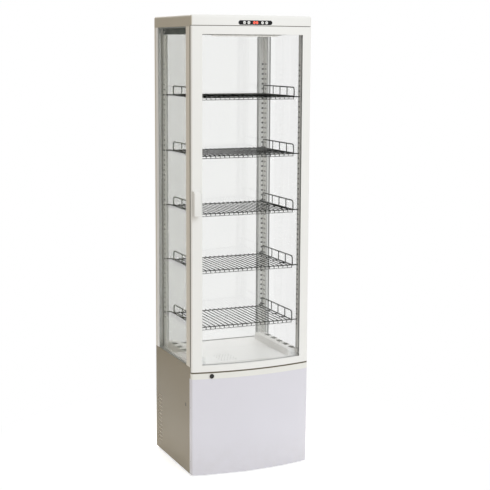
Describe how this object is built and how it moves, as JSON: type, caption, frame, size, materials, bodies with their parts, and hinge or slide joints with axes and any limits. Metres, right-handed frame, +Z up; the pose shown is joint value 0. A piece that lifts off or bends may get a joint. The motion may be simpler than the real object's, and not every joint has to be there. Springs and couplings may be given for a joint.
{
  "type": "display case",
  "caption": "Upright refrigerated glass display case with a bowed hinged door, chrome wire shelves and a closed machine base.",
  "frame": {"origin": "centre of the bounding box at the floor, under the feet", "axes": "+Z up, -Y towards the door and the user, +X to the user's right, the door's hinge side"},
  "size_m": [0.515, 0.462, 1.853],
  "materials": {
    "panel_paint": "semi-gloss powder coat",
    "side_paint": "semi-gloss powder coat",
    "post_cover": "satin moulded profile",
    "white_plastic": "satin moulded",
    "liner": "matte moulded",
    "zinc_sheet": "galvanised",
    "post_metal": "satin anodised",
    "glass": "clear",
    "chrome_wire": "plated",
    "gasket_rubber": "matte",
    "black_rubber": "matte",
    "black_plastic": "gloss",
    "display_red": "lit",
    "button_white": "satin",
    "ceiling_grey": "satin",
    "lamp_white": "diffuse",
    "compressor_black": "gloss",
    "coil_metal": "mill",
    "fan_plastic": "matte",
    "copper_pipe": "dull copper",
    "screw_zinc": "zinc plated"
  },
  "bodies": {
    "cabinet": {"base_pan": "zinc_sheet", "base_left_panel": "side_paint", "base_right_panel": "side_paint", "base_front_panel": "panel_paint", "base_rear_grille": "side_paint", "lock_strip": "white_plastic", "levelling_feet": "black_rubber", "insulated_deck": "liner", "floor_tray": "liner", "left_air_duct": "liner", "right_air_duct": "liner", "front_left_post": "post_cover", "front_right_post": "post_cover", "rear_left_post": "post_cover", "rear_right_post": "post_cover", "front_left_standard": "post_metal", "front_right_standard": "post_metal", "rear_left_standard": "post_metal", "rear_right_standard": "post_metal", "left_glass_panes": "glass", "right_glass_panes": "glass", "rear_glass_panes": "glass", "glazing_spacers": "post_metal", "header_shell": "white_plastic", "ceiling_panel": "ceiling_grey", "ceiling_lamp": "lamp_white", "lamp_lens": "lamp_white", "control_panel": "black_plastic", "display_window": "display_red", "shelf_1": "chrome_wire", "shelf_2": "chrome_wire", "shelf_3": "chrome_wire", "shelf_4": "chrome_wire", "shelf_5": "chrome_wire", "compressor": "compressor_black", "compressor_mounts": "black_rubber", "condenser_coil": "coil_metal", "condenser_shroud": "zinc_sheet", "condenser_motor": "compressor_black", "evaporator_coil": "coil_metal", "evaporator_motor": "compressor_black", "evaporation_tray": "black_plastic", "refrigerant_pipes": "copper_pipe", "electrical_box": "liner", "power_inlet": "black_plastic", "panel_screws": "screw_zinc", "hinge_pins": "chrome_wire", "lock_housing": "chrome_wire"},
    "door": {"door_frame": "white_plastic", "door_glass_panes": "glass", "door_spacer": "post_metal", "door_gasket": "gasket_rubber", "door_handle": "white_plastic"},
    "lock": {"lock_barrel": "black_plastic"},
    "set_key": {"set_button": "button_white"},
    "down_key": {"down_button": "button_white"},
    "up_key": {"up_button": "button_white"},
    "light_key": {"light_button": "button_white"},
    "condenser_rotor": {"condenser_fan": "fan_plastic"},
    "evaporator_rotor": {"evaporator_fan": "fan_plastic"}
  },
  "joints": [
    {"name": "door_swing", "type": "hinge", "parent": "cabinet", "child": "door", "pos_m": [0.2495, -0.19501, 1.108], "axis": [0, 0, 1], "range_deg": [0, 115]},
    {"name": "lock_turn", "type": "hinge", "parent": "cabinet", "child": "lock", "pos_m": [-0.1775, -0.209, 0.419], "axis": [0, -1, 0], "range_deg": [0, 90]},
    {"name": "set_press", "type": "slide", "parent": "cabinet", "child": "set_key", "axis": [0, 1, 0], "range_m": [0, 0.0015], "stiffness_N_per_m": 400},
    {"name": "down_press", "type": "slide", "parent": "cabinet", "child": "down_key", "axis": [0, 1, 0], "range_m": [0, 0.0015], "stiffness_N_per_m": 400},
    {"name": "up_press", "type": "slide", "parent": "cabinet", "child": "up_key", "axis": [0, 1, 0], "range_m": [0, 0.0015], "stiffness_N_per_m": 400},
    {"name": "light_press", "type": "slide", "parent": "cabinet", "child": "light_key", "axis": [0, 1, 0], "range_m": [0, 0.0015], "stiffness_N_per_m": 400},
    {"name": "condenser_fan_spin", "type": "hinge", "parent": "cabinet", "child": "condenser_rotor", "pos_m": [0.095, 0.1698, 0.15], "axis": [0, 1, 0], "continuous": true},
    {"name": "evaporator_fan_spin", "type": "hinge", "parent": "cabinet", "child": "evaporator_rotor", "pos_m": [0.115, 0.016, 0.405], "axis": [0, 0, 1], "continuous": true}
  ]
}
